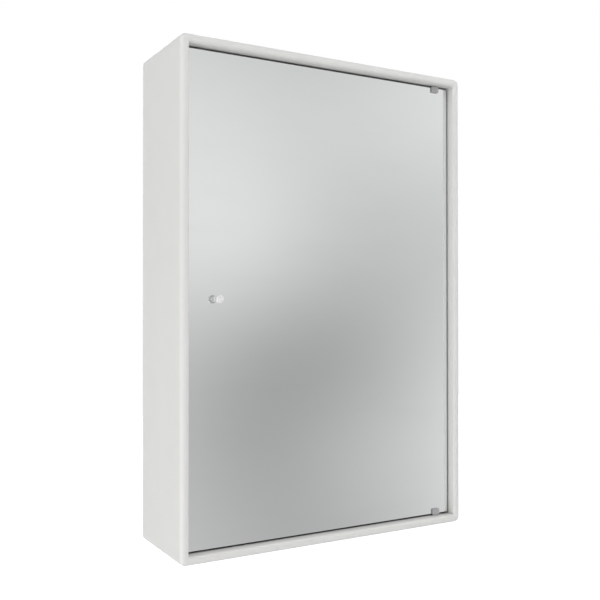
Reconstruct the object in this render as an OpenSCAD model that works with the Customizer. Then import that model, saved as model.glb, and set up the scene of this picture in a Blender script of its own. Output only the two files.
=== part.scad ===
// Wall-hung bathroom mirror cabinet: a mitred carcass with a rounded front, and an inset mirror door.
// The back lies in the wall plane y = 0 and the front faces -Y. The origin is the middle of the back.
// The door turns on two pivot clamps near its right edge, and a magnet holds it shut on the left.

/* [Carcass] */
// Overall width
cab_w = 468; // [380:2:700]
// Overall height
cab_h = 696; // [560:2:1000]
// Overall depth of the carcass, from the wall to its front
cab_d = 148; // [140:4:220]
// Thickness of the four outer panels
panel_t = 12; // [12:0.5:18]
// Radius of the four outer corners
corner_r = 8.5; // [6.5:0.5:10.5]
// Radius of the outer edge of the front
front_out_r = 6; // [2:0.5:8]
// Radius of the inner edge of the front
front_in_r = 3.5; // [2:0.5:5.5]
// Thickness of the back panel
back_t = 6; // [4:0.5:8]
// How far the rebate for the back panel goes into each outer panel
rebate_w = 6; // [4:0.5:8]
// Thickness of the tongue inside each mitre
tongue_t = 3; // [2:0.5:4]
// Width of the tongue across the mitre
tongue_w = 8; // [6:0.5:9]
// Distance of the tongue from the inner corner
tongue_in = 6; // [5:0.5:7]
// Distance of the tongue's ends from the wall and from the front
tongue_end = 16; // [12:1:30]

/* [Wall rails] */
// Height of each hanging rail
rail_h = 45; // [35:1:70]
// Thickness of each hanging rail
rail_t = 16; // [14:1:22]
// Distance between the wall holes of one rail
wall_hole_span = 380; // [300:5:390]
// Diameter of the wall holes
wall_hole_d = 6; // [4:0.5:8]
// Diameter of the dowels that hold the rails
dowel_d = 6; // [5:0.5:8]
// Length of each dowel
dowel_l = 24; // [20:1:30]
// Depth of a blind hole in an outer panel
blind_depth = 9; // [8:0.5:10]
// Distance between the two dowels at one end of a rail
dowel_span = 22; // [18:1:24]
// Distance between neighbouring screws of the back panel
back_screw_step = 120; // [60:5:150]
// Distance of the back screws from the rail's middle line
back_screw_drop = 12; // [9:0.5:14]

/* [Mirror door] */
// Distance from the carcass front back to the mirror's face
door_recess = 14; // [10:1:24]
// Gap between the mirror's edge and the carcass
door_gap = 2.5; // [2.3:0.1:4]
// Thickness of the mirror glass
glass_t = 4; // [3:0.5:6]
// Thickness of the safety film on the mirror's back
film_t = 0.3; // [0.2:0.1:1]
// Size of the polished arris round the mirror
arris = 0.6; // [0.3:0.1:1.2]
// How far the safety film stays inside the mirror's edge
film_inset = 2; // [1:0.5:5]

/* [Pivot clamps] */
// Distance from the mirror's right edge to the pivot axis
pivot_inset = 24.5; // [24:0.5:34]
// Width of a clamp's front leaf
leaf_w = 13; // [12:0.5:16]
// Width of a clamp's block behind the mirror
clamp_w = 16; // [14:0.5:20]
// How far the front leaf reaches over the mirror
clamp_reach = 8; // [6:0.5:12]
// Thickness of the front leaf
leaf_t = 1.8; // [1.2:0.1:2.5]
// Radius of the clamp's corners
clamp_corner = 1.5; // [0.5:0.25:3]
// Thickness of the web across the mirror's edge
web_t = 1.2; // [0.8:0.1:1.4]
// Thickness of the block behind the mirror
block_t = 8; // [7:0.5:9]
// Height of the block behind the mirror
block_h = 14; // [12:0.5:20]
// Thickness of the soft liner on the mirror's faces
liner_t = 0.5; // [0.3:0.1:1]
// Thickness of the soft liner on the mirror's edge
edge_pad = 0.3; // [0.2:0.05:0.4]
// Diameter of the pivot pin
pin_d = 4; // [3:0.5:4.5]
// Length of the pin in the clamp
pin_grip = 11; // [8:0.5:12]
// Length of the pin in the bush
pin_reach = 7; // [5:0.5:8]
// Diameter of the washer between clamp and panel
washer_d = 14; // [12:0.5:16]
// Diameter of the bush's body
bush_d = 8; // [7:0.5:9]
// Diameter of the bush's flange
bush_flange_d = 12; // [11:0.5:14]
// Thickness of the bush's flange
bush_flange_t = 1; // [0.6:0.1:1.5]
// Diameter of the set screws
set_screw_d = 3; // [2.5:0.5:4]
// Distance of each set screw from the pivot axis
set_screw_off = 5; // [4.5:0.25:5.5]
// Distance of the set screws from the mirror's edge
set_screw_drop = 5; // [4:0.5:7]

/* [Knob] */
// Diameter of the knob's head
knob_d = 12; // [10:0.5:20]
// How far the knob stands out from the mirror
knob_out = 16; // [14:0.5:24]
// Thickness of the knob's head
knob_head_t = 6; // [4:0.5:8]
// Radius of the round edge of the knob's head
knob_round = 2; // [1:0.25:2.5]
// Diameter of the knob's foot
knob_foot_d = 9; // [8:0.5:10]
// Thickness of the knob's foot
knob_foot_t = 1.5; // [1:0.25:3]
// Diameter of the knob's neck
knob_neck_d = 7; // [6.5:0.25:8]
// Distance from the mirror's left edge to the knob's axis
knob_inset = 41; // [30:1:60]
// Diameter of the knob's screw
knob_screw_d = 4; // [3:0.5:5]
// Length of the screw inside the knob
knob_screw_in = 8; // [5:0.5:11]
// Diameter of the hole through the mirror
knob_hole_d = 6; // [5.5:0.5:8]
// Thickness of the thin washer in front of the mirror
front_washer_t = 0.5; // [0.3:0.1:1]
// Thickness of the washer behind the mirror
rear_washer_t = 1; // [0.6:0.1:2]
// Diameter of the washer behind the mirror
rear_washer_d = 11; // [10:0.5:14]

/* [Magnet catch and stops] */
// Width of the catch, out from the left panel
catch_w = 18; // [17:0.5:24]
// Depth of the catch
catch_d = 20; // [16:0.5:22]
// Height of the catch between its ears
catch_h = 20; // [18:0.5:30]
// Height of each ear
ear_h = 9; // [8:0.5:12]
// Thickness of the ears
ear_t = 4; // [3:0.5:6]
// Diameter of the small wood screws
screw_d = 3; // [2.5:0.25:3.5]
// Diameter of the small wood screws' heads
screw_head_d = 6; // [5:0.5:7]
// Width of the magnet
magnet_w = 10; // [8:0.5:12]
// Height of the magnet
magnet_h = 14; // [10:0.5:16]
// Depth of the magnet
magnet_d = 6; // [4:0.5:8]
// How far the magnet stands out of the catch
magnet_proud = 0.4; // [0.2:0.1:1]
// Diameter of the strike plate
strike_d = 14; // [12:0.5:16]
// Thickness of the strike plate
strike_t = 1.2; // [0.8:0.1:2]
// Distance from the mirror's left edge to the stops
stop_inset = 25; // [20:1:60]
// Width of a stop
stop_w = 14; // [12:0.5:20]
// Depth of a stop
stop_d = 12; // [10:0.5:16]
// Height of a stop
stop_h = 9; // [8.5:0.5:14]
// Diameter of the buffer on a stop
buffer_d = 5; // [4:0.5:5.5]
// Thickness of the buffer
buffer_t = 2; // [1:0.25:3]
// Diameter of the buffer's stem
stem_d = 2.5; // [2:0.5:3.5]

/* [Shelves] */
// Distance between neighbouring shelves
shelf_step = 160; // [128:32:224]
// Thickness of the glass shelves
shelf_t = 5; // [4:0.5:8]
// Distance between neighbouring holes for the shelf supports
hole_step = 32; // [24:8:32]
// Room between a shelf and the side panel
shelf_side_gap = 1.5; // [1:0.25:3]
// Room between a shelf and the back panel
shelf_back_gap = 1.5; // [1:0.25:4]
// Room between a shelf and the door's swing
swing_room = 3; // [2:0.5:8]
// Diameter of the shelf supports
support_d = 5; // [4:0.5:6]
// Length of a support under the shelf
support_l = 10; // [8:0.5:14]
// Diameter of a support's collar
collar_d = 8; // [7:0.5:10]
// Thickness of a support's collar
collar_t = 1; // [0.5:0.25:1.25]
// Height of a support's flat above its axis
support_flat = 1.5; // [1:0.25:1.75]
// Distance of the supports from the shelf's front and back edges
support_inset = 20; // [14:1:28]

/* [Fits] */
// Radial clearance of the turning pivot pins
pin_play = 0.05; // [0.02:0.01:0.1]
// Clearance of pieces that are pressed, glued or screwed in
seat_play = 0.05; // [0.02:0.01:0.1]
// Running clearance on each side of the pivot washers
washer_play = 0.1; // [0.05:0.05:0.15]
// Clearance between the closed door and its stops and magnet
stop_play = 0.3; // [0.2:0.05:0.5]

/* [Hidden] */
$fn = 64;

// Half sizes of the inside
in_x = cab_w / 2 - panel_t;
in_z = cab_h / 2 - panel_t;

// Layers of the door, from front to back
y_mirror = door_recess - cab_d;
y_glass = y_mirror + glass_t;
y_film = y_glass + film_t;
y_block = y_film + liner_t;
y_block_back = y_block + block_t;
y_pivot = y_block + block_t / 2;

// Half sizes of the mirror, and the door's pivot
door_x = in_x - door_gap;
door_z = in_z - door_gap;
x_pivot = door_x - pivot_inset;
z_web = door_z + edge_pad;
z_web_top = z_web + web_t;
washer_t = in_z - z_web_top - 2 * washer_play;
swing_r = norm([pivot_inset, y_mirror - y_pivot]);

// Knob
x_knob = knob_inset - door_x;
knob_neck_l = knob_out - front_washer_t - knob_foot_t - knob_head_t;

// Magnet catch
y_magnet = y_film + strike_t + stop_play;
y_catch = y_magnet + magnet_proud;
catch_x = catch_w - magnet_w / 2 - 2;
ear_z = (catch_h + ear_h) / 2;

// Door stops
x_stop = stop_inset - door_x;
y_buffer = y_film + stop_play;
y_stop = y_buffer + buffer_t;
z_buffer = in_z - stop_h / 2 - 0.75;
stem_l = 4;

// Shelves
y_shelf_back = -back_t - shelf_back_gap;
y_shelf_front = y_pivot + swing_r + swing_room;
shelf_x = in_x - shelf_side_gap;
support_ys = [y_shelf_front + support_inset, y_shelf_back - support_inset];

// Rails
rail_z = in_z - rail_h / 2;
y_rail = -back_t - rail_t / 2;

white = [0.93, 0.93, 0.92];
inner_white = [0.88, 0.88, 0.87];
zinc = [0.58, 0.58, 0.59];
steel = [0.72, 0.73, 0.75];
nylon = [0.3, 0.3, 0.31];
beech = [0.78, 0.64, 0.45];

// Small shapes that repeat

// A rectangle with round corners, centred
module soft_rect(w, h, r) {
    square([w - 2 * r, h], center = true);
    square([w, h - 2 * r], center = true);
    for (sx = [-1, 1], sy = [-1, 1])
        translate([sx * (w / 2 - r), sy * (h / 2 - r)])
            circle(r);
}

// A flat plate seen from the front, of the given half sizes, from y0 back by t, with a polished arris
module arris_section(half, t, a) {
    polygon([
        [-half, a], [a - half, 0], [half - a, 0], [half, a],
        [half, t - a], [half - a, t], [a - half, t], [-half, t - a]
    ]);
}

module arris_plate(half_x, half_z, t, a) {
    intersection() {
        translate([0, 0, -half_z])
            linear_extrude(2 * half_z)
                arris_section(half_x, t, a);
        rotate([0, 90, 0])
            translate([0, 0, -half_x])
                linear_extrude(2 * half_x)
                    arris_section(half_z, t, a);
    }
}

// A countersunk wood screw that points along -Z, with the top of its head at z = 0
module wood_screw(len) {
    head_t = (screw_head_d - screw_d) / 2;
    recess_w = screw_d * 0.25;
    recess_l = screw_head_d * 0.55;
    difference() {
        union() {
            translate([0, 0, -head_t])
                cylinder(h = head_t, d1 = screw_d, d2 = screw_head_d);
            translate([0, 0, -len])
                cylinder(h = len - head_t, d = screw_d);
        }
        for (a = [0, 90])
            rotate(a)
                cube([recess_l, recess_w, head_t], center = true);
    }
}

// The room that a wood screw takes, with its clearance
module wood_screw_hole(len) {
    head_t = (screw_head_d - screw_d) / 2;
    translate([0, 0, -head_t])
        cylinder(h = head_t + seat_play, d1 = screw_d + 2 * seat_play, d2 = screw_head_d + 4 * seat_play);
    translate([0, 0, -len - seat_play])
        cylinder(h = len, d = screw_d + 2 * seat_play);
}

// A plain bore or rod along Y, from y0 to y1
module rod_y(d, y0, y1) {
    translate([0, y1, 0])
        rotate([90, 0, 0])
            cylinder(h = y1 - y0, d = d);
}

// A plain bore or rod along X, from x0 to x1
module rod_x(d, x0, x1) {
    translate([x0, 0, 0])
        rotate([0, 90, 0])
            cylinder(h = x1 - x0, d = d);
}

// Carcass panels

// Thickness of a panel by its depth, from its outer face, with the inner edge of the front rounded
module inner_rounded_section() {
    translate([0, -cab_d])
        square([panel_t - front_in_r, cab_d]);
    translate([0, front_in_r - cab_d])
        square([panel_t, cab_d - front_in_r]);
    translate([panel_t - front_in_r, front_in_r - cab_d])
        circle(front_in_r);
}

// The outermost part of a panel by its depth, from x = 0 out to its outer face at x = corner_r
module outer_rounded_section() {
    translate([0, -cab_d])
        square([corner_r - front_out_r, cab_d]);
    translate([0, front_out_r - cab_d])
        square([corner_r, cab_d - front_out_r]);
    intersection() {
        translate([corner_r - front_out_r, front_out_r - cab_d])
            circle(front_out_r);
        translate([0, -cab_d])
            square([corner_r, cab_d]);
    }
}

// A round outer corner about its own axis, out to the left and up, in an odd number of steps: the mitre
// then runs through the middle of a step
module round_corner() {
    rotate([-90, 0, 0])
        rotate(180)
            rotate_extrude(angle = 90, $fn = 68)
                outer_rounded_section();
}

// The tongue across the mitre at the upper end of a panel on the left
module mitre_tongue(off, len, play) {
    in = tongue_in / sqrt(2);
    translate([panel_t - off - in, -cab_d / 2, len - panel_t + in])
        rotate([0, -45, 0])
            cube([
                tongue_w + 2 * play, cab_d - 2 * tongue_end + 2 * play, tongue_t + 2 * play
            ], center = true);
}

// The long plate that a panel is cut from: its outer face at x = 0, with rounded front edges, and with
// round corners that end at z = +-len
module round_plate(len) {
    corner_z = len - corner_r;
    intersection() {
        linear_extrude(3 * len, center = true)
            inner_rounded_section();
        translate([corner_r, 0, 0]) {
            linear_extrude(3 * len, center = true)
                translate([0, -cab_d])
                    square([panel_t, cab_d]);
            mirror([1, 0, 0])
                linear_extrude(2 * corner_z, center = true)
                    outer_rounded_section();
            for (m = [0, 1])
                mirror([0, 0, m])
                    translate([0, 0, corner_z])
                        round_corner();
        }
    }
}

// An upright panel on the left, with its outer face at x = -off and its mitred ends at z = +-len
module panel(off, len) {
    out = 1;
    translate([-off, 0, 0])
        difference() {
            intersection() {
                round_plate(len);
                translate([0, out, 0])
                    rotate([90, 0, 0])
                        linear_extrude(cab_d + 2 * out)
                            polygon([
                                [-out, -len - out], [panel_t + out, panel_t + out - len],
                                [panel_t + out, len - panel_t - out], [-out, len + out]
                            ]);
            }
            translate([panel_t - rebate_w, -back_t, -len])
                cube([rebate_w + out, back_t + out, 2 * len]);
            for (m = [0, 1])
                mirror([0, 0, m])
                    mitre_tongue(0, len, seat_play);
        }
}

module side_panel() {
    difference() {
        panel(cab_w / 2, cab_h / 2);
        for (y = support_ys, k = [-1, 0, 1], j = [-1, 0, 1])
            translate([0, y, k * shelf_step + j * hole_step])
                rod_x(support_d + 2 * seat_play, -in_x - blind_depth, 1 - in_x);
        for (s = [-1, 1])
            translate([0, y_rail, s * rail_z])
                dowel_pair(seat_play);
    }
}

module left_side_panel() {
    color(white)
        difference() {
            side_panel();
            catch_screw_places()
                wood_screw_hole(ear_t + blind_depth);
        }
}

module right_side_panel() {
    color(white)
        mirror([1, 0, 0])
            side_panel();
}

// The top panel; the bottom one is its mirror image
module end_panel() {
    difference() {
        rotate([0, 90, 0])
            panel(cab_h / 2, cab_w / 2);
        bush_body(seat_play);
        stop_screw_place()
            wood_screw_hole(stop_h + blind_depth);
    }
}

module top_panel() {
    color(white)
        end_panel();
}

module bottom_panel() {
    color(white)
        mirror([0, 0, 1])
            end_panel();
}

module corner_tongues() {
    color(beech)
        for (mx = [0, 1], mz = [0, 1])
            mirror([mx, 0, 0])
                mirror([0, 0, mz])
                    mitre_tongue(cab_w / 2, cab_h / 2, 0);
}

// Back and rails

module wall_holes() {
    for (sx = [-1, 1], sz = [-1, 1])
        translate([sx * wall_hole_span / 2, 0, sz * rail_z])
            rod_y(wall_hole_d, -back_t - rail_t - 1, 1);
}

module back_screw_places() {
    for (i = [-1, 0, 1], s = [-1, 1])
        translate([i * back_screw_step, 0, s * (rail_z - back_screw_drop)])
            rotate([-90, 0, 0])
                children();
}

module back_panel() {
    half_x = in_x + rebate_w - seat_play;
    half_z = in_z + rebate_w - seat_play;
    color(inner_white)
        difference() {
            translate([-half_x, -back_t, -half_z])
                cube([2 * half_x, back_t, 2 * half_z]);
            wall_holes();
            back_screw_places()
                wood_screw_hole(back_t + blind_depth);
        }
}

// The two dowels at the left end of a rail, about the rail's middle line
module dowel_pair(play) {
    x_end = -in_x - blind_depth + 0.5;
    for (s = [-1, 1])
        translate([0, 0, s * dowel_span / 2])
            rod_x(dowel_d + 2 * play, x_end - play, x_end + dowel_l + play);
}

module rail() {
    difference() {
        translate([seat_play - in_x, -back_t - rail_t, rail_z - rail_h / 2])
            cube([2 * (in_x - seat_play), rail_t, rail_h - seat_play]);
        wall_holes();
        back_screw_places()
            wood_screw_hole(back_t + blind_depth);
        for (mx = [0, 1])
            mirror([mx, 0, 0])
                translate([0, y_rail, rail_z])
                    dowel_pair(seat_play);
    }
}

module upper_rail() {
    color(inner_white)
        rail();
}

module lower_rail() {
    color(inner_white)
        mirror([0, 0, 1])
            rail();
}

module rail_dowels() {
    color(beech)
        for (mx = [0, 1], sz = [-1, 1])
            mirror([mx, 0, 0])
                translate([0, y_rail, sz * rail_z])
                    dowel_pair(0);
}

module back_screws() {
    color(steel)
        back_screw_places()
            wood_screw(back_t + blind_depth);
}

// Pivot bushes

module bush_body(play) {
    translate([x_pivot, y_pivot, in_z - 1])
        cylinder(h = bush_flange_t + 1 + play, d = bush_flange_d + 2 * play);
    translate([x_pivot, y_pivot, in_z])
        cylinder(h = blind_depth + play, d = bush_d + 2 * play);
}

module pivot_bush() {
    difference() {
        bush_body(0);
        translate([x_pivot - bush_flange_d, y_pivot - bush_flange_d, in_z - 2])
            cube([2 * bush_flange_d, 2 * bush_flange_d, 2]);
        translate([x_pivot, y_pivot, in_z - 1])
            cylinder(h = 1 + pin_reach + washer_play, d = pin_d + 2 * pin_play);
    }
}

module upper_pivot_bush() {
    color(nylon)
        pivot_bush();
}

module lower_pivot_bush() {
    color(nylon)
        mirror([0, 0, 1])
            pivot_bush();
}

// Door stops

module stop_screw_place() {
    translate([x_stop, y_stop + stop_d - screw_head_d / 2 - 0.5, in_z - stop_h])
        rotate([180, 0, 0])
            children();
}

module door_stop() {
    difference() {
        translate([x_stop, y_stop + stop_d / 2, in_z - stop_h])
            linear_extrude(stop_h)
                soft_rect(stop_w, stop_d, 1);
        translate([x_stop, 0, z_buffer])
            rod_y(stem_d + 2 * seat_play, y_stop - 1, y_stop + stem_l + seat_play);
        stop_screw_place()
            wood_screw_hole(stop_h + blind_depth);
    }
}

module stop_buffer() {
    translate([x_stop, 0, z_buffer]) {
        rod_y(buffer_d, y_buffer, y_stop);
        rod_y(stem_d, y_stop - 0.5, y_stop + stem_l);
    }
}

module door_stops() {
    color(white)
        for (m = [0, 1])
            mirror([0, 0, m])
                door_stop();
}

module stop_buffers() {
    color(nylon)
        for (m = [0, 1])
            mirror([0, 0, m])
                stop_buffer();
}

module stop_screws() {
    color(steel)
        for (m = [0, 1])
            mirror([0, 0, m])
                stop_screw_place()
                    wood_screw(stop_h + blind_depth - 1);
}

// Magnet catch

module catch_screw_places() {
    for (s = [-1, 1])
        translate([ear_t - in_x, y_catch + catch_d / 2, s * ear_z])
            rotate([0, 90, 0])
                children();
}

module magnet_block(play) {
    translate([catch_x - in_x - magnet_w / 2 - play, y_magnet, -magnet_h / 2 - play])
        cube([magnet_w + 2 * play, magnet_d + play, magnet_h + 2 * play]);
}

module catch_housing() {
    color(white)
        difference() {
            union() {
                translate([catch_w / 2 - in_x, y_catch + catch_d / 2, -catch_h / 2])
                    linear_extrude(catch_h) {
                        soft_rect(catch_w, catch_d, 1.5);
                        translate([-catch_w / 2, -catch_d / 2])
                            square([ear_t, catch_d]);
                    }
                translate([-in_x, y_catch + catch_d / 2, 0])
                    rotate([0, 90, 0])
                        linear_extrude(ear_t)
                            soft_rect(catch_h + 2 * ear_h, catch_d, 3);
            }
            magnet_block(seat_play);
            catch_screw_places()
                wood_screw_hole(ear_t + blind_depth);
        }
}

module catch_magnet() {
    color(nylon)
        magnet_block(0);
}

module catch_screws() {
    color(steel)
        catch_screw_places()
            wood_screw(ear_t + blind_depth - 1);
}

// Shelves

module shelf(k) {
    depth = y_shelf_back - y_shelf_front;
    color([0.75, 0.86, 0.83, 0.5])
        translate([0, (y_shelf_front + y_shelf_back) / 2, k * shelf_step + support_flat + shelf_t])
            rotate([-90, 0, 0])
                arris_plate(shelf_x, depth / 2, shelf_t, arris);
}

module lower_shelf() {
    shelf(-1);
}

module middle_shelf() {
    shelf(0);
}

module upper_shelf() {
    shelf(1);
}

// A support at the left panel: shank, collar and a half-round tongue with a flat top
module shelf_support() {
    rod_x(support_d, -in_x - blind_depth + 1, -in_x + seat_play);
    difference() {
        union() {
            rod_x(collar_d, -in_x, collar_t - in_x);
            rod_x(support_d, -in_x, support_l - in_x);
        }
        translate([shelf_side_gap - in_x - 0.25, -collar_d, support_flat])
            cube([support_l, 2 * collar_d, collar_d]);
    }
}

module shelf_supports() {
    color(steel)
        for (m = [0, 1], y = support_ys, k = [-1, 0, 1])
            mirror([m, 0, 0])
                translate([0, y, k * shelf_step])
                    shelf_support();
}

// Mirror door

module mirror_glass() {
    color([0.8, 0.83, 0.84])
        difference() {
            translate([0, y_mirror, 0])
                arris_plate(door_x, door_z, glass_t, arris);
            translate([x_knob, 0, 0])
                rod_y(knob_hole_d, y_mirror - 1, y_film + 1);
        }
}

module safety_film() {
    color([0.5, 0.52, 0.53])
        difference() {
            translate([film_inset - door_x, y_glass, film_inset - door_z])
                cube([2 * (door_x - film_inset), film_t, 2 * (door_z - film_inset)]);
            translate([x_knob, 0, 0])
                rod_y(knob_hole_d, y_mirror - 1, y_film + 1);
        }
}

module set_screw_places() {
    for (s = [-1, 1])
        translate([x_pivot + s * set_screw_off, 0, door_z - set_screw_drop])
            children();
}

// The upper clamp: a thin front leaf, a web over the mirror's edge and a block behind
module clamp() {
    leaf_h = z_web_top - door_z + clamp_reach;
    difference() {
        union() {
            translate([x_pivot, y_mirror - liner_t, z_web_top - leaf_h / 2])
                rotate([90, 0, 0])
                    linear_extrude(leaf_t)
                        soft_rect(leaf_w, leaf_h, clamp_corner);
            translate([x_pivot - leaf_w / 2 + clamp_corner, y_mirror - liner_t - leaf_t, z_web])
                cube([leaf_w - 2 * clamp_corner, y_block_back - y_mirror + liner_t + leaf_t, web_t]);
            translate([x_pivot, y_block_back, z_web_top - (block_h + web_t) / 2])
                rotate([90, 0, 0])
                    linear_extrude(block_t)
                        soft_rect(clamp_w, block_h + web_t, clamp_corner);
        }
        translate([x_pivot, y_pivot, z_web_top - pin_grip])
            cylinder(h = pin_grip + 1, d = pin_d + 2 * seat_play);
        set_screw_places()
            rod_y(set_screw_d + 2 * seat_play, y_block - 1, y_block_back + 1);
    }
}

module upper_clamp() {
    color(zinc)
        clamp();
}

module lower_clamp() {
    color(zinc)
        mirror([0, 0, 1])
            clamp();
}

// A band of the liner across the pivot axis, of a given width, from an outline by depth and height
module liner_band(w) {
    translate([x_pivot - w / 2, 0, 0])
        rotate([90, 0, 90])
            linear_extrude(w)
                children();
}

// A soft channel between the clamp and the mirror, as narrow as the leaf in front and wider behind
module liner() {
    liner_band(leaf_w - 2 * clamp_corner)
        polygon([
            [y_mirror - liner_t, z_web], [y_glass, z_web], [y_glass, door_z], [y_mirror, door_z],
            [y_mirror, door_z - clamp_reach], [y_mirror - liner_t, door_z - clamp_reach]
        ]);
    liner_band(clamp_w - 2 * clamp_corner)
        polygon([
            [y_glass, z_web], [y_block, z_web], [y_block, z_web - block_h], [y_film, z_web - block_h],
            [y_film, door_z - film_inset], [y_glass, door_z - film_inset]
        ]);
}

module upper_liner() {
    color(nylon)
        liner();
}

module lower_liner() {
    color(nylon)
        mirror([0, 0, 1])
            liner();
}

// Two set screws with a hexagon socket, turned from behind, that press the liner on the mirror
module set_screws() {
    set_screw_places()
        difference() {
            rod_y(set_screw_d, y_block, y_block_back - 0.5);
            translate([0, y_block_back, 0])
                rotate([90, 0, 0])
                    cylinder(h = set_screw_d / 2 + 0.5, d = set_screw_d / 2, $fn = 6);
        }
}

module upper_set_screws() {
    color(steel)
        set_screws();
}

module lower_set_screws() {
    color(steel)
        mirror([0, 0, 1])
            set_screws();
}

module pivot_pin() {
    translate([x_pivot, y_pivot, z_web_top - pin_grip])
        cylinder(h = pin_grip + in_z - z_web_top + pin_reach, d = pin_d);
}

module upper_pivot_pin() {
    color(steel)
        pivot_pin();
}

module lower_pivot_pin() {
    color(steel)
        mirror([0, 0, 1])
            pivot_pin();
}

module pivot_washer() {
    difference() {
        translate([x_pivot, y_pivot, z_web_top + washer_play])
            cylinder(h = washer_t, d = washer_d);
        translate([x_pivot, y_pivot, z_web_top])
            cylinder(h = in_z - z_web_top, d = pin_d + 2 * seat_play);
    }
}

module upper_washer() {
    color(nylon)
        pivot_washer();
}

module lower_washer() {
    color(nylon)
        mirror([0, 0, 1])
            pivot_washer();
}

// Knob

// Half outline of the knob: foot, waisted neck and head with a round edge
module knob_section() {
    neck_r = knob_neck_d / 2;
    head_z = knob_foot_t + knob_neck_l;
    square([knob_foot_d / 2, knob_foot_t]);
    square([neck_r, head_z + knob_round]);
    translate([0, head_z])
        square([knob_d / 2 - knob_round, knob_head_t]);
    translate([0, head_z + knob_round])
        square([knob_d / 2, knob_head_t - 2 * knob_round]);
    for (z = [head_z + knob_round, head_z + knob_head_t - knob_round])
        translate([knob_d / 2 - knob_round, z])
            circle(knob_round);
}

module knob() {
    color(white)
        translate([x_knob, y_mirror - front_washer_t, 0])
            rotate([90, 0, 0])
                difference() {
                    rotate_extrude()
                        intersection() {
                            knob_section();
                            square([knob_d, knob_out]);
                        }
                    translate([0, 0, -1])
                        cylinder(h = knob_screw_in + 1 + seat_play, d = knob_screw_d + 2 * seat_play);
                }
}

module ring_y(d, bore, y0, y1) {
    difference() {
        rod_y(d, y0, y1);
        rod_y(bore, y0 - 1, y1 + 1);
    }
}

module knob_washers() {
    bore = knob_screw_d + 2 * seat_play;
    color([0.9, 0.9, 0.9])
        translate([x_knob, 0, 0]) {
            ring_y(knob_foot_d, bore, y_mirror - front_washer_t, y_mirror);
            ring_y(rear_washer_d, bore, y_film, y_film + rear_washer_t);
        }
}

module knob_screw() {
    head_d = knob_screw_d * 1.9;
    head_t = knob_screw_d * 0.6;
    y_head = y_film + rear_washer_t;
    color(steel)
        translate([x_knob, 0, 0])
            difference() {
                union() {
                    rod_y(knob_screw_d, y_mirror - front_washer_t - knob_screw_in, y_head + head_t / 2);
                    rod_y(head_d, y_head, y_head + head_t);
                }
                for (a = [0, 90])
                    translate([0, y_head + head_t, 0])
                        rotate([0, a, 0])
                            cube([head_d * 0.6, head_t, knob_screw_d * 0.25], center = true);
            }
}

module strike_plate() {
    color(steel)
        translate([catch_x - in_x, 0, 0])
            rod_y(strike_d, y_film, y_film + strike_t);
}

left_side_panel();
right_side_panel();
top_panel();
bottom_panel();
corner_tongues();
back_panel();
upper_rail();
lower_rail();
rail_dowels();
back_screws();
upper_pivot_bush();
lower_pivot_bush();
door_stops();
stop_buffers();
stop_screws();
catch_housing();
catch_magnet();
catch_screws();
lower_shelf();
middle_shelf();
upper_shelf();
shelf_supports();
mirror_glass();
safety_film();
upper_clamp();
lower_clamp();
upper_liner();
lower_liner();
upper_set_screws();
lower_set_screws();
upper_pivot_pin();
lower_pivot_pin();
upper_washer();
lower_washer();
knob();
knob_washers();
knob_screw();
strike_plate();
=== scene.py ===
"""Looks of a wall-hung bathroom mirror cabinet: a white lacquered carcass with an inset mirror door.

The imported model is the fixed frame. This script dresses its pieces, sets up a pale studio and places the
camera. Everything is in metres in the model's own frame: +Z is up, the mirror faces -Y and the wall is at
y = 0.
"""

import logging
import math
from dataclasses import dataclass
from enum import Enum
from typing import ClassVar, Sequence, Union

import bpy
from mathutils import Euler, Matrix, Vector


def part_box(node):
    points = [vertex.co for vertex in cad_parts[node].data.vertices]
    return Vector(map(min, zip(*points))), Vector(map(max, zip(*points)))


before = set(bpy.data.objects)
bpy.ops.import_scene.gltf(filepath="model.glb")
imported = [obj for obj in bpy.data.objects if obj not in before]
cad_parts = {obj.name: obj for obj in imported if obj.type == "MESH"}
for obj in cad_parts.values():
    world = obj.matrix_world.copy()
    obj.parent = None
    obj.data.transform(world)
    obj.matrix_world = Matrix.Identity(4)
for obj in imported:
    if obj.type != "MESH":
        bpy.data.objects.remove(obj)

log = logging.getLogger("mirror_cabinet")

MM = 0.001
IMAGE_WIDTH_PX = 600
SENSOR_MM = 36.0

Colour = tuple[float, float, float]
Feed = Union[float, Sequence[float], bpy.types.NodeSocket]

BLACK: Colour = (0.0, 0.0, 0.0)
WHITE: Colour = (1.0, 1.0, 1.0)

# A face looks straight along an axis where its normal's part on the axis is above the first value, and is
# turned away from it where that part is below the second
STRAIGHT = 0.98
TURNED = 0.9

# The range that a noise texture's values mostly lie in
NOISE_LOW = 0.3
NOISE_HIGH = 0.7


class Facing(Enum):
    """A direction that a face can look in, as the index of its axis in a normal."""

    SIDE = 0
    FRONT = 1
    TOP = 2


def rgba(colour: Colour) -> tuple[float, float, float, float]:
    """Returns a colour with full alpha."""
    return (*colour, 1.0)


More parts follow.
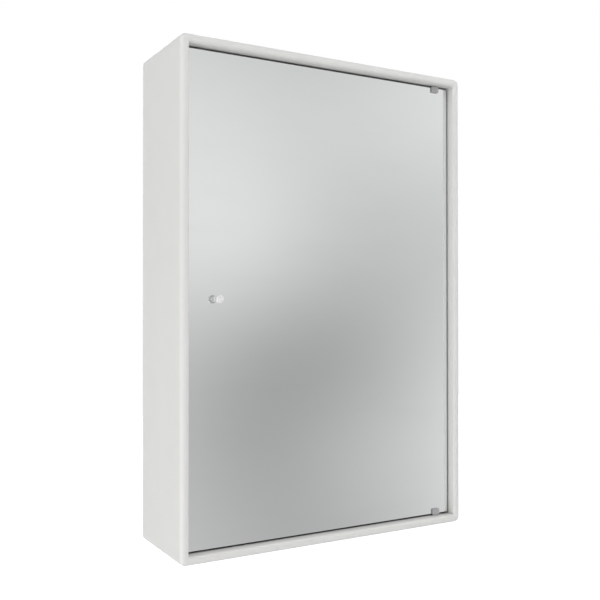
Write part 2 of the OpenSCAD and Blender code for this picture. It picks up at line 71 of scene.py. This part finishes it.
class Graph:
    """A node tree that is built by adding nodes and feeding their sockets."""

    def __init__(self, tree: bpy.types.NodeTree) -> None:
        """Starts on a tree.

        Args:
            tree: The node tree of a material, a world or a group.
        """
        self.tree = tree
        self.column = 0

    def node(self, kind: str, **settings: object) -> bpy.types.Node:
        """Adds a node.

        Args:
            kind: The node's type, such as ShaderNodeMath.
            settings: Attributes to set on the node, such as operation.

        Returns:
            The new node.
        """
        made = self.tree.nodes.new(kind)
        self.column += 1
        made.location = (180.0 * self.column, -60.0 * (self.column % 5))
        for key, value in settings.items():
            setattr(made, key, value)
        return made

    def feed(self, socket: bpy.types.NodeSocket, value: Feed) -> None:
        """Links an output to a socket, or sets the socket's own value.

        Args:
            socket: The input socket.
            value: Another node's output, or a number, vector or colour.
        """
        if isinstance(value, bpy.types.NodeSocket):
            self.tree.links.new(value, socket)
        elif isinstance(value, (int, float)):
            socket.default_value = value
        else:
            size = len(socket.default_value)
            socket.default_value = tuple(value)[:size] if len(value) >= size else (*value, 1.0)

    def math(self, operation: str, *values: Feed, clamp: bool = False) -> bpy.types.NodeSocket:
        """Adds a Math node.

        Args:
            operation: The node's operation.
            values: What its inputs take, in order.
            clamp: Whether the result stays between 0 and 1.

        Returns:
            The result's socket.
        """
        made = self.node("ShaderNodeMath", operation=operation, use_clamp=clamp)
        for socket, value in zip(made.inputs, values):
            self.feed(socket, value)
        return made.outputs[0]

    def vector(self, operation: str, *values: Feed, out: str = "Vector") -> bpy.types.NodeSocket:
        """Adds a Vector Math node.

        Args:
            operation: The node's operation.
            values: What its inputs take, in order.
            out: The output to return, Vector or Value.

        Returns:
            The result's socket.
        """
        made = self.node("ShaderNodeVectorMath", operation=operation)
        for socket, value in zip(made.inputs, values):
            self.feed(socket, value)
        return made.outputs[out]

    def mix(self, factor: Feed, first: Feed, second: Feed) -> bpy.types.NodeSocket:
        """Mixes two colours.

        Args:
            factor: 0 gives the first and 1 the second.
            first: The first colour.
            second: The second colour.

        Returns:
            The mixed colour's socket.
        """
        made = self.node("ShaderNodeMix", data_type="RGBA")
        self.feed(made.inputs["Factor"], factor)
        self.feed(made.inputs[6], first)
        self.feed(made.inputs[7], second)
        return made.outputs[2]

    def remap(
        self, value: Feed, low: float, high: float, to_low: Feed, to_high: Feed
    ) -> bpy.types.NodeSocket:
        """Maps a range smoothly onto another.

        Args:
            value: The value to map.
            low: The value that becomes to_low.
            high: The value that becomes to_high.
            to_low: The result at and below low.
            to_high: The result at and above high.

        Returns:
            The mapped value's socket.
        """
        made = self.node("ShaderNodeMapRange", interpolation_type="SMOOTHSTEP")
        names = ("Value", "From Min", "From Max", "To Min", "To Max")
        for name, given in zip(names, (value, low, high, to_low, to_high)):
            self.feed(made.inputs[name], given)
        return made.outputs["Result"]

    def noise(self, vector: Feed, scale: Feed, detail: float = 2.0) -> bpy.types.NodeSocket:
        """Adds a noise texture.

        Args:
            vector: The coordinates.
            scale: Repeats a metre.
            detail: Octaves.

        Returns:
            The noise value's socket, between 0 and 1.
        """
        made = self.node("ShaderNodeTexNoise")
        self.feed(made.inputs["Vector"], vector)
        self.feed(made.inputs["Scale"], scale)
        self.feed(made.inputs["Detail"], detail)
        return made.outputs["Fac"]

    def use(self, group: bpy.types.NodeTree, out: str, **values: Feed) -> bpy.types.NodeSocket:
        """Places a group.

        Args:
            group: The node group.
            out: The output to return.
            values: What its inputs take; an underscore in a name stands for a space.

        Returns:
            The chosen output's socket.
        """
        made = self.node("ShaderNodeGroup", node_tree=group)
        for name, value in values.items():
            self.feed(made.inputs[name.replace("_", " ").title()], value)
        return made.outputs[out]


class Effects:
    """Shader node groups that several finishes share. Each is built once."""

    _made: ClassVar[dict[str, bpy.types.NodeTree]] = {}

    @classmethod
    def _start(cls, name: str, inputs: dict[str, str], outputs: dict[str, str]) -> tuple[Graph, dict, dict]:
        """Starts a group.

        Args:
            name: The group's name.
            inputs: Input names and socket types.
            outputs: Output names and socket types.

        Returns:
            The group's graph, its inputs by name and its outputs by name.
        """
        tree = bpy.data.node_groups.new(name, "ShaderNodeTree")
        for title, kind in inputs.items():
            tree.interface.new_socket(title, in_out="INPUT", socket_type=kind)
        for title, kind in outputs.items():
            tree.interface.new_socket(title, in_out="OUTPUT", socket_type=kind)
        graph = Graph(tree)
        entry = graph.node("NodeGroupInput")
        leave = graph.node("NodeGroupOutput")
        cls._made[name] = tree
        return graph, entry.outputs, leave.inputs

    @classmethod
    def fine_grain(cls) -> bpy.types.NodeTree:
        """Returns the group that mixes a fine and a broad noise over the surface."""
        if "fine grain" not in cls._made:
            outputs = {title: "NodeSocketFloat" for title in ("Fine", "Broad")}
            graph, given, results = cls._start("fine grain", {"Scale": "NodeSocketFloat"}, outputs)
            where = graph.node("ShaderNodeTexCoord").outputs["Object"]
            fine = graph.noise(where, given["Scale"], 3.0)
            broad = graph.noise(where, graph.math("MULTIPLY", given["Scale"], 0.02), 2.0)
            graph.feed(results["Fine"], graph.remap(fine, NOISE_LOW, NOISE_HIGH, 0.0, 1.0))
            graph.feed(results["Broad"], graph.remap(broad, NOISE_LOW, NOISE_HIGH, 0.0, 1.0))
        return cls._made["fine grain"]

    @classmethod
    def settled_dust(cls) -> bpy.types.NodeTree:
        """Returns the group that gives a mask of fine dust on faces that look up."""
        if "settled dust" not in cls._made:
            graph, given, results = cls._start(
                "settled dust", {"Amount": "NodeSocketFloat"}, {"Mask": "NodeSocketFloat"}
            )
            normal = graph.node("ShaderNodeNewGeometry").outputs["Normal"]
            split = graph.node("ShaderNodeSeparateXYZ")
            graph.feed(split.inputs[0], normal)
            up = graph.remap(split.outputs["Z"], 0.6, 1.0, 0.0, 1.0)
            where = graph.node("ShaderNodeTexCoord").outputs["Object"]
            specks = graph.remap(graph.noise(where, 900.0, 4.0), 0.45, 0.75, 0.35, 1.0)
            dusty = graph.math("MULTIPLY", up, specks)
            graph.feed(results["Mask"], graph.math("MULTIPLY", dusty, given["Amount"]))
        return cls._made["settled dust"]

    @classmethod
    def drawn_lines(cls) -> bpy.types.NodeTree:
        """Returns the group of fine lines along X, as brushing or polishing leaves them."""
        if "drawn lines" not in cls._made:
            graph, given, results = cls._start(
                "drawn lines", {"Scale": "NodeSocketFloat"}, {"Lines": "NodeSocketFloat"}
            )
            where = graph.node("ShaderNodeTexCoord").outputs["Object"]
            stretched = graph.vector("MULTIPLY", where, (0.02, 1.0, 1.0))
            lines = graph.noise(stretched, given["Scale"], 3.0)
            graph.feed(results["Lines"], graph.remap(lines, NOISE_LOW, NOISE_HIGH, 0.0, 1.0))
        return cls._made["drawn lines"]

    @classmethod
    def facing(cls) -> bpy.types.NodeTree:
        """Returns the group whose masks tell which way a face looks, and which faces are arrises."""
        if "facing" not in cls._made:
            sides = {way.name.title(): "XYZ"[way.value] for way in Facing}
            outputs = {title: "NodeSocketFloat" for title in (*sides, "Arris")}
            graph, _, results = cls._start("facing", {}, outputs)
            normal = graph.node("ShaderNodeTexCoord").outputs["Normal"]
            split = graph.node("ShaderNodeSeparateXYZ")
            graph.feed(split.inputs[0], normal)
            straight: Feed = 0.0
            for title, axis in sides.items():
                size = graph.math("ABSOLUTE", split.outputs[axis])
                mask = graph.remap(size, TURNED, STRAIGHT, 0.0, 1.0)
                graph.feed(results[title], mask)
                straight = graph.math("ADD", straight, mask)
            graph.feed(results["Arris"], graph.math("SUBTRACT", 1.0, straight, clamp=True))
        return cls._made["facing"]


@dataclass(frozen=True)
class Finish:
    """What every finish has: its colour, its gloss and the fine unevenness of its surface.

    Attributes:
        name: The material's name.
        colour: Linear base colour.
        roughness: Middle roughness.
        spread: How far the roughness varies over the surface.
        grain_scale: Repeats a metre of the fine grain.
        grain_depth: Height of the grain in metres.
        tint: How far the colour varies over the surface.
    """

    name: str
    colour: Colour
    roughness: float = 0.4
    spread: float = 0.05
    grain_scale: float = 1200.0
    grain_depth: float = 0.00001
    tint: float = 0.02

    def material(self) -> bpy.types.Material:
        """Returns the finish's material, which is built on its first use."""
        known = bpy.data.materials.get(self.name)
        if known is not None:
            return known
        made = bpy.data.materials.new(self.name)
        made.use_nodes = True
        graph = Graph(made.node_tree)
        shader = made.node_tree.nodes["Principled BSDF"]
        self.paint(graph, shader)
        made.diffuse_color = rgba(self.colour)
        return made

    def paint(self, graph: Graph, shader: bpy.types.Node) -> None:
        """Feeds the shader with grain, gloss and colour.

        Args:
            graph: The material's graph.
            shader: Its Principled BSDF.
        """
        group = Effects.fine_grain()
        fine = graph.use(group, "Fine", scale=self.grain_scale)
        broad = graph.use(group, "Broad", scale=self.grain_scale)
        graph.feed(shader.inputs["Base Color"], self.shade(graph, broad))
        low, high = self.roughness - self.spread, self.roughness + self.spread
        graph.feed(shader.inputs["Roughness"], graph.remap(broad, 0.0, 1.0, low, high))
        self.emboss(graph, shader, fine)

    def shade(self, graph: Graph, mask: Feed) -> bpy.types.NodeSocket:
        """Varies the colour a little over the surface.

        Args:
            graph: The material's graph.
            mask: Where the colour is darker.

        Returns:
            The colour's socket.
        """
        darker = tuple(part * (1.0 - self.tint) for part in self.colour)
        return graph.mix(mask, rgba(self.colour), rgba(darker))

    def emboss(self, graph: Graph, shader: bpy.types.Node, height: Feed) -> None:
        """Feeds the shader's normal with a bump of the finish's own depth.

        Args:
            graph: The material's graph.
            shader: Its Principled BSDF.
            height: The height between 0 and 1.
        """
        bump = graph.node("ShaderNodeBump")
        graph.feed(bump.inputs["Distance"], self.grain_depth)
        graph.feed(bump.inputs["Strength"], 1.0)
        graph.feed(bump.inputs["Height"], height)
        graph.feed(shader.inputs["Normal"], bump.outputs["Normal"])


@dataclass(frozen=True)
class SatinLacquer(Finish):
    """Sprayed satin lacquer with a faint orange peel and a trace of dust on top.

    Attributes:
        coat: Weight of the clear coat.
        coat_roughness: Roughness of the clear coat.
        dust: Amount of dust on faces that look up.
        dust_colour: Linear colour of the dust.
    """

    coat: float = 0.25
    coat_roughness: float = 0.25
    dust: float = 0.06
    dust_colour: Colour = (0.62, 0.60, 0.57)

    def paint(self, graph: Graph, shader: bpy.types.Node) -> None:
        """Feeds the shader; see Finish.paint."""
        super().paint(graph, shader)
        shader.inputs["Coat Weight"].default_value = self.coat
        shader.inputs["Coat Roughness"].default_value = self.coat_roughness
        broad = graph.use(Effects.fine_grain(), "Broad", scale=self.grain_scale)
        dust = graph.use(Effects.settled_dust(), "Mask", amount=self.dust)
        dusty = graph.mix(dust, self.shade(graph, broad), rgba(self.dust_colour))
        graph.feed(shader.inputs["Base Color"], dusty)


@dataclass(frozen=True)
class Metal(Finish):
    """Bare or plated metal, cast or drawn.

    Attributes:
        drawn: Whether the fine lines of drawing or brushing show, in place of cast grain.
        metallic: How metallic the surface is; cast and blasted zinc is duller.
    """

    drawn: bool = True
    metallic: float = 1.0

    def paint(self, graph: Graph, shader: bpy.types.Node) -> None:
        """Feeds the shader; see Finish.paint."""
        super().paint(graph, shader)
        shader.inputs["Metallic"].default_value = self.metallic
        if self.drawn:
            lines = graph.use(Effects.drawn_lines(), "Lines", scale=self.grain_scale)
            low, high = self.roughness - self.spread, self.roughness + self.spread
            graph.feed(shader.inputs["Roughness"], graph.remap(lines, 0.0, 1.0, low, high))
            self.emboss(graph, shader, lines)


@dataclass(frozen=True)
class Wood(Finish):
    """Plain timber with its grain along X.

    Attributes:
        dark: Linear colour of the late wood.
        ring_scale: Repeats a metre of the year rings.
    """

    dark: Colour = (0.36, 0.24, 0.13)
    ring_scale: float = 260.0

    def paint(self, graph: Graph, shader: bpy.types.Node) -> None:
        """Feeds the shader; see Finish.paint."""
        super().paint(graph, shader)
        where = graph.node("ShaderNodeTexCoord").outputs["Object"]
        along = graph.vector("MULTIPLY", where, (0.05, 1.0, 1.0))
        rings = graph.remap(graph.noise(along, self.ring_scale, 5.0), 0.38, 0.66, 0.0, 1.0)
        graph.feed(shader.inputs["Base Color"], graph.mix(rings, rgba(self.colour), rgba(self.dark)))
        self.emboss(graph, shader, rings)


@dataclass(frozen=True)
class ClearGlass(Finish):
    """Clear float glass: nearly colourless through its faces and green through its edges.

    Attributes:
        edge: Linear colour of the edges.
        face: The direction that its large faces look in.
        bend: Index of refraction.
    """

    edge: Colour = (0.42, 0.68, 0.58)
    face: Facing = Facing.TOP
    bend: float = 1.52

    def paint(self, graph: Graph, shader: bpy.types.Node) -> None:
        """Feeds the shader; see Finish.paint."""
        super().paint(graph, shader)
        shader.inputs["Transmission Weight"].default_value = 1.0
        shader.inputs["IOR"].default_value = self.bend
        mask = graph.use(Effects.facing(), self.face.name.title())
        graph.feed(shader.inputs["Base Color"], graph.mix(mask, rgba(self.edge), rgba(self.colour)))


@dataclass(frozen=True)
class SilveredGlass(Finish):
    """A mirror: silver seen through clear glass in front, dark green glass on its edges, paint at the back.

    Attributes:
        edge: Linear colour of the edges, where the eye looks into the depth of the glass.
        arris: Linear colour of the polished arrises.
        backing: Linear colour of the paint that seals the silver from behind.
        edge_roughness: Roughness of edges and arrises.
        backing_roughness: Roughness of the paint.
        haze: Roughness that wiping adds here and there.
    """

    edge: Colour = (0.04, 0.055, 0.05)
    arris: Colour = (0.16, 0.19, 0.18)
    backing: Colour = (0.27, 0.28, 0.28)
    edge_roughness: float = 0.12
    backing_roughness: float = 0.52
    haze: float = 0.02

    def paint(self, graph: Graph, shader: bpy.types.Node) -> None:
        """Feeds the shader; see Finish.paint."""
        where = graph.node("ShaderNodeTexCoord").outputs
        split = graph.node("ShaderNodeSeparateXYZ")
        graph.feed(split.inputs[0], where["Normal"])
        front = graph.remap(split.outputs["Y"], -STRAIGHT, -TURNED, 1.0, 0.0)
        behind = graph.remap(split.outputs["Y"], TURNED, STRAIGHT, 0.0, 1.0)
        streaks = graph.noise(graph.vector("MULTIPLY", where["Object"], (3.0, 3.0, 9.0)), 3.0, 4.0)
        wiped = graph.remap(streaks, 0.45, 0.7, 0.0, 1.0)
        hazy = graph.math("MULTIPLY_ADD", wiped, self.haze, self.roughness)
        rim = graph.mix(graph.use(Effects.facing(), "Arris"), rgba(self.edge), rgba(self.arris))
        plain = graph.mix(behind, rim, rgba(self.backing))
        duller = self.backing_roughness - self.edge_roughness
        dull = graph.math("MULTIPLY_ADD", behind, duller, self.edge_roughness)
        gloss = graph.math("ADD", dull, graph.math("MULTIPLY", front, graph.math("SUBTRACT", hazy, dull)))
        graph.feed(shader.inputs["Base Color"], graph.mix(front, plain, self.shade(graph, wiped)))
        graph.feed(shader.inputs["Metallic"], front)
        graph.feed(shader.inputs["Roughness"], gloss)


class Finishes:
    """The finishes of this cabinet."""

    LACQUER = SatinLacquer("white_satin_lacquer", (0.80, 0.80, 0.785), 0.42, 0.04, 1400.0, 0.000004, 0.01)
    KNOB = SatinLacquer(
        "knob_lacquer", (0.70, 0.70, 0.69), 0.35, 0.04, 1600.0, 0.000003, 0.01, coat=0.4, dust=0.0
    )
    BOARD = Finish("white_faced_board", (0.74, 0.74, 0.72), 0.55, 0.03, 2600.0, 0.000012, 0.012)
    BEECH = Wood("plain_beech", (0.60, 0.42, 0.25), 0.6, 0.08, 900.0, 0.00003, 0.1)
    ZINC = Metal(
        "cast_zinc", (0.56, 0.56, 0.57), 0.46, 0.06, 3500.0, 0.000012, 0.08, drawn=False, metallic=0.75
    )
    STEEL = Metal("zinc_plated_steel", (0.62, 0.63, 0.64), 0.32, 0.08, 2400.0, 0.000006, 0.06)
    NICKEL = Metal("nickel_plate", (0.66, 0.62, 0.56), 0.18, 0.06, 2400.0, 0.000003, 0.04)
    NYLON = Finish("dark_nylon", (0.045, 0.045, 0.047), 0.5, 0.08, 2200.0, 0.00001, 0.1)
    GREY_NYLON = Finish("grey_nylon", (0.32, 0.32, 0.325), 0.5, 0.08, 2200.0, 0.00001, 0.08)
    LINER = Finish("soft_liner", (0.14, 0.14, 0.143), 0.75, 0.08, 1800.0, 0.00002, 0.12)
    BUFFER = Finish("silicone_buffer", (0.55, 0.56, 0.57), 0.45, 0.08, 1500.0, 0.00001, 0.05)
    MOULDING = Finish("white_moulding", (0.76, 0.76, 0.75), 0.45, 0.06, 3000.0, 0.00001, 0.02)
    FERRITE = Finish("dark_ferrite", (0.035, 0.035, 0.037), 0.6, 0.12, 2600.0, 0.00003, 0.2)
    FILM = Finish("grey_safety_film", (0.34, 0.35, 0.355), 0.5, 0.03, 1500.0, 0.00001, 0.012)
    MIRROR = SilveredGlass("silvered_glass", (0.90, 0.915, 0.915), 0.02, tint=0.01)
    SHELF = ClearGlass("clear_shelf_glass", (0.95, 0.98, 0.97), 0.03, 0.01, 300.0, 0.000001, 0.0)


@dataclass
class Assembly:
    """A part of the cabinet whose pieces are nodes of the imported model.

    Attributes:
        weld: How close the model's corner points lie where they are joined before a bevel.
        sharp_deg: The least angle between two faces at which an edge counts as sharp.
    """

    weld: float = 0.001 * MM
    sharp_deg: float = 35.0

    def finishes(self) -> dict[str, Finish]:
        """Returns the finish of each node."""
        raise NotImplementedError

    def broken_edges(self) -> dict[str, float]:
        """Returns the width in metres by which the edges of some nodes are broken."""
        return {}

    def dress(self) -> None:
        """Gives each node of the assembly its finish, and breaks the edges that are sharp in the model."""
        for name, finish in self.finishes().items():
            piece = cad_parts[name]
            piece.data.materials.clear()
            piece.data.materials.append(finish.material())
            low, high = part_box(name)
            log.info("%s: %s, %s mm", name, finish.name, [round(v / MM, 1) for v in high - low])
        self.soften()

    def soften(self) -> None:
        """Breaks sharp edges with a narrow bevel."""
        for name, width in self.broken_edges().items():
            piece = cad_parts[name]
            weld = piece.modifiers.new("weld", "WELD")
            weld.merge_threshold = self.weld
            bevel = piece.modifiers.new("broken edges", "BEVEL")
            bevel.width = width
            bevel.segments = 2
            bevel.limit_method = "ANGLE"
            bevel.angle_limit = math.radians(self.sharp_deg)
            even = piece.modifiers.new("even shading", "WEIGHTED_NORMAL")
            even.keep_sharp = True


@dataclass
class Carcass(Assembly):
    """The mitred outer panels and the tongues in their joints."""

    def finishes(self) -> dict[str, Finish]:
        """Returns the finish of each node."""
        panels = ("left_side_panel", "right_side_panel", "top_panel", "bottom_panel")
        return {name: Finishes.LACQUER for name in panels} | {"corner_tongues": Finishes.BEECH}


@dataclass
class BackAndRails(Assembly):
    """The back panel, the rails that carry the wall screws, and what holds them."""

    def finishes(self) -> dict[str, Finish]:
        """Returns the finish of each node."""
        return {
            "back_panel": Finishes.BOARD,
            "upper_rail": Finishes.BOARD,
            "lower_rail": Finishes.BOARD,
            "rail_dowels": Finishes.BEECH,
            "back_screws": Finishes.STEEL,
        }


@dataclass
class DoorStopsAndCatch(Assembly):
    """What the closed door rests on and is held by."""

    def finishes(self) -> dict[str, Finish]:
        """Returns the finish of each node."""
        return {
            "door_stops": Finishes.MOULDING,
            "stop_buffers": Finishes.BUFFER,
            "stop_screws": Finishes.STEEL,
            "catch_housing": Finishes.MOULDING,
            "catch_magnet": Finishes.FERRITE,
            "catch_screws": Finishes.STEEL,
            "upper_pivot_bush": Finishes.NYLON,
            "lower_pivot_bush": Finishes.NYLON,
        }

    def broken_edges(self) -> dict[str, float]:
        """Returns the width in metres by which the edges of some nodes are broken."""
        return {"catch_housing": 0.4 * MM, "door_stops": 0.4 * MM, "catch_magnet": 0.2 * MM}


@dataclass
class Shelving(Assembly):
    """The glass shelves and their supports."""

    def finishes(self) -> dict[str, Finish]:
        """Returns the finish of each node."""
        shelves = ("lower_shelf", "middle_shelf", "upper_shelf")
        return {name: Finishes.SHELF for name in shelves} | {"shelf_supports": Finishes.NICKEL}


@dataclass
class MirrorDoor(Assembly):
    """The mirror with its film, its pivot clamps, its knob and the strike plate."""

    def finishes(self) -> dict[str, Finish]:
        """Returns the finish of each node."""
        return {
            "mirror_glass": Finishes.MIRROR,
            "safety_film": Finishes.FILM,
            "upper_clamp": Finishes.ZINC,
            "lower_clamp": Finishes.ZINC,
            "upper_liner": Finishes.LINER,
            "lower_liner": Finishes.LINER,
            "upper_set_screws": Finishes.STEEL,
            "lower_set_screws": Finishes.STEEL,
            "upper_pivot_pin": Finishes.STEEL,
            "lower_pivot_pin": Finishes.STEEL,
            "upper_washer": Finishes.NYLON,
            "lower_washer": Finishes.NYLON,
            "knob": Finishes.KNOB,
            "knob_washers": Finishes.GREY_NYLON,
            "knob_screw": Finishes.STEEL,
            "strike_plate": Finishes.STEEL,
        }


@dataclass(frozen=True)
class Glow:
    """A broad soft light or dark patch of the studio, as gloss shows it.

    Attributes:
        towards: The direction of its middle.
        width: Its spread along X, Y and Z, as parts of the unit sphere.
        strength: How much brighter its middle is; below 0 it is darker.
    """

    towards: Colour
    width: Colour
    strength: float


@dataclass(frozen=True)
class SoftLamp:
    """A square softbox that is turned to the cabinet.

    Attributes:
        name: Its name.
        place: Where it stands.
        size: Its width.
        power: Its power in watts.
        aim: The point that it is turned to.
    """

    name: str
    place: Colour
    size: float
    power: float
    aim: Colour = (0.0, -0.1, 0.0)

    def build(self) -> None:
        """Makes the lamp, which neither the camera nor gloss shows."""
        light = bpy.data.lights.new(self.name, "AREA")
        light.shape = "SQUARE"
        light.size = self.size
        light.energy = self.power
        lamp = bpy.data.objects.new(self.name, light)
        lamp.location = self.place
        lamp.rotation_euler = (Vector(self.aim) - lamp.location).to_track_quat("-Z", "Y").to_euler()
        lamp.visible_glossy = False
        lamp.visible_camera = False
        bpy.context.scene.collection.objects.link(lamp)


@dataclass
class Studio:
    """The pale room round the cabinet: world, floor and lamps.

    Attributes:
        floor_z: Height of the floor; the cabinet hangs above it.
        floor_half: Half the floor's width.
        floor_grey: The floor's colour where light falls on it.
        floor_glow: How pale the floor looks by itself below the cabinet; far off it is white.
        glow_from: Distance from the middle at which the floor begins to turn white.
        glow_to: Distance at which it is white.
        fill: Strength of the even light from all round.
        gloss_base: Brightness of the room in reflections.
        glows: Soft patches of the room in reflections.
        lamps: The softboxes.
    """

    floor_z: float = -1.4
    floor_half: float = 9.0
    floor_grey: float = 0.86
    floor_glow: float = 0.6
    glow_from: float = 0.8
    glow_to: float = 2.4
    fill: float = 0.2
    gloss_base: float = 0.62
    glows: tuple[Glow, ...] = (
        Glow((0.54, -0.85, -0.17), (0.06, 3.0, 0.07), 0.114),
        Glow((0.50, -0.85, 0.01), (0.10, 3.0, 0.25), -0.348),
        Glow((0.45, -0.85, 0.08), (0.10, 3.0, 0.09), 0.400),
        Glow((0.72, -0.85, -0.18), (0.08, 3.0, 0.15), 0.338),
        Glow((0.67, -0.85, 0.24), (0.35, 3.0, 0.08), 0.255),
    )
    lamps: tuple[SoftLamp, ...] = (
        SoftLamp("front_softbox", (-0.9, -2.1, 2.1), 1.4, 16.0),
        SoftLamp("left_softbox", (-2.6, -0.6, 1.8), 1.4, 27.7),
        SoftLamp("right_softbox", (2.0, -1.9, 1.8), 1.4, 43.0),
        SoftLamp("low_front_softbox", (-0.6, -1.9, -1.1), 1.2, 9.9),
        SoftLamp("low_left_softbox", (-2.2, -0.5, -1.0), 1.2, 19.8),
        SoftLamp("rear_softbox", (0.4, 2.9, 0.9), 1.4, 50.0),
    )

    def build(self) -> None:
        """Makes the world, the floor and the lamps."""
        self.make_world()
        self.make_floor()
        for lamp in self.lamps:
            lamp.build()

    def make_world(self) -> None:
        """Makes a world that is white to the camera, soft grey in reflections and an even light elsewhere."""
        world = bpy.data.worlds.new("pale_studio")
        bpy.context.scene.world = world
        world.use_nodes = True
        graph = Graph(world.node_tree)
        out = world.node_tree.nodes["World Output"]
        base = world.node_tree.nodes["Background"]
        path = graph.node("ShaderNodeLightPath").outputs
        base.inputs["Color"].default_value = rgba(WHITE)
        plain = graph.math("MAXIMUM", path["Is Camera Ray"], path["Is Transmission Ray"])
        lit = graph.math("MULTIPLY", graph.math("SUBTRACT", 1.0, path["Is Glossy Ray"]), self.fill)
        glossy = graph.math("MULTIPLY", path["Is Glossy Ray"], self.reflected(graph))
        dark = graph.math("MULTIPLY", graph.math("SUBTRACT", 1.0, plain), graph.math("ADD", lit, glossy))
        graph.feed(base.inputs["Strength"], graph.math("ADD", plain, dark))
        graph.feed(out.inputs["Surface"], base.outputs["Background"])

    def reflected(self, graph: Graph) -> bpy.types.NodeSocket:
        """Works out how bright the room is in the direction of a reflected ray.

        Args:
            graph: The world's graph.

        Returns:
            The brightness.
        """
        towards = graph.node("ShaderNodeTexCoord").outputs["Generated"]
        total: Feed = self.gloss_base
        for glow in self.glows:
            offset = graph.vector("DIVIDE", graph.vector("SUBTRACT", towards, glow.towards), glow.width)
            square = graph.vector("DOT_PRODUCT", offset, offset, out="Value")
            falloff = graph.math("EXPONENT", graph.math("MULTIPLY", square, -0.5))
            total = graph.math("MULTIPLY_ADD", falloff, glow.strength, total)
        return total

    def make_floor(self) -> None:
        """Makes the plain pale floor: white to the camera far off, with the cabinet's shadow near by."""
        half = self.floor_half
        mesh = bpy.data.meshes.new("floor")
        corners = [(-half, -half), (half, -half), (half, half), (-half, half)]
        mesh.from_pydata([(x, y, self.floor_z) for x, y in corners], [], [(0, 1, 2, 3)])
        floor = bpy.data.objects.new("floor", mesh)
        bpy.context.scene.collection.objects.link(floor)
        made = bpy.data.materials.new("pale_floor")
        made.use_nodes = True
        graph = Graph(made.node_tree)
        shader = made.node_tree.nodes["Principled BSDF"]
        shader.inputs["Base Color"].default_value = rgba((self.floor_grey,) * 3)
        shader.inputs["Roughness"].default_value = 0.9
        shader.inputs["Specular IOR Level"].default_value = 0.0
        shader.inputs["Emission Strength"].default_value = 1.0
        where = graph.vector("MULTIPLY", graph.node("ShaderNodeTexCoord").outputs["Object"], (1.0, 1.0, 0.0))
        distance = graph.vector("LENGTH", where, out="Value")
        away = graph.remap(distance, self.glow_from, self.glow_to, self.floor_glow, 1.0)
        seen = graph.node("ShaderNodeLightPath").outputs["Is Camera Ray"]
        pale = graph.mix(away, rgba(BLACK), rgba(WHITE))
        graph.feed(shader.inputs["Emission Color"], graph.mix(seen, rgba(BLACK), pale))
        mesh.materials.append(made)
        floor.visible_glossy = False


@dataclass(frozen=True)
class Viewpoint:
    """Where the photograph was taken from.

    Attributes:
        place: The lens's place.
        yaw_deg: How far the view turns right from straight at the wall.
        pitch_deg: How far it looks up.
        roll_deg: How far it leans over.
        focal_px: The focal length in pixels of the photograph.
        far: How far the camera sees.
    """

    place: Colour = (-0.63253, -1.15327, -0.01042)
    yaw_deg: float = 29.825
    pitch_deg: float = 0.482
    roll_deg: float = -0.036
    focal_px: float = 826.6
    far: float = 60.0

    def build(self) -> None:
        """Makes the camera and hands it to the scene."""
        data = bpy.data.cameras.new("camera")
        data.sensor_width = SENSOR_MM
        data.lens = self.focal_px / IMAGE_WIDTH_PX * SENSOR_MM
        data.clip_end = self.far
        camera = bpy.data.objects.new("camera", data)
        camera.location = self.place
        turn = (math.radians(90.0 + self.pitch_deg), 0.0, -math.radians(self.yaw_deg))
        lean = Matrix.Rotation(math.radians(self.roll_deg), 3, "Z")
        camera.rotation_euler = (Euler(turn, "XYZ").to_matrix() @ lean).to_euler()
        bpy.context.scene.collection.objects.link(camera)
        bpy.context.scene.camera = camera


def corners(bounds: Sequence[Sequence[float]]) -> list[list[float]]:
    """Returns a box as plain lists of numbers."""
    return [[float(v) for v in corner] for corner in bounds]


def main() -> None:
    """Builds the view, the studio and every assembly."""
    logging.basicConfig(level=logging.INFO, format="%(name)s: %(message)s")
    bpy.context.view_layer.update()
    bpy.context.scene.view_settings.view_transform = "Standard"
    Viewpoint().build()
    Studio().build()
    for assembly in (Carcass(), BackAndRails(), DoorStopsAndCatch(), Shelving(), MirrorDoor()):
        assembly.dress()


if __name__ == "__main__":
    main()
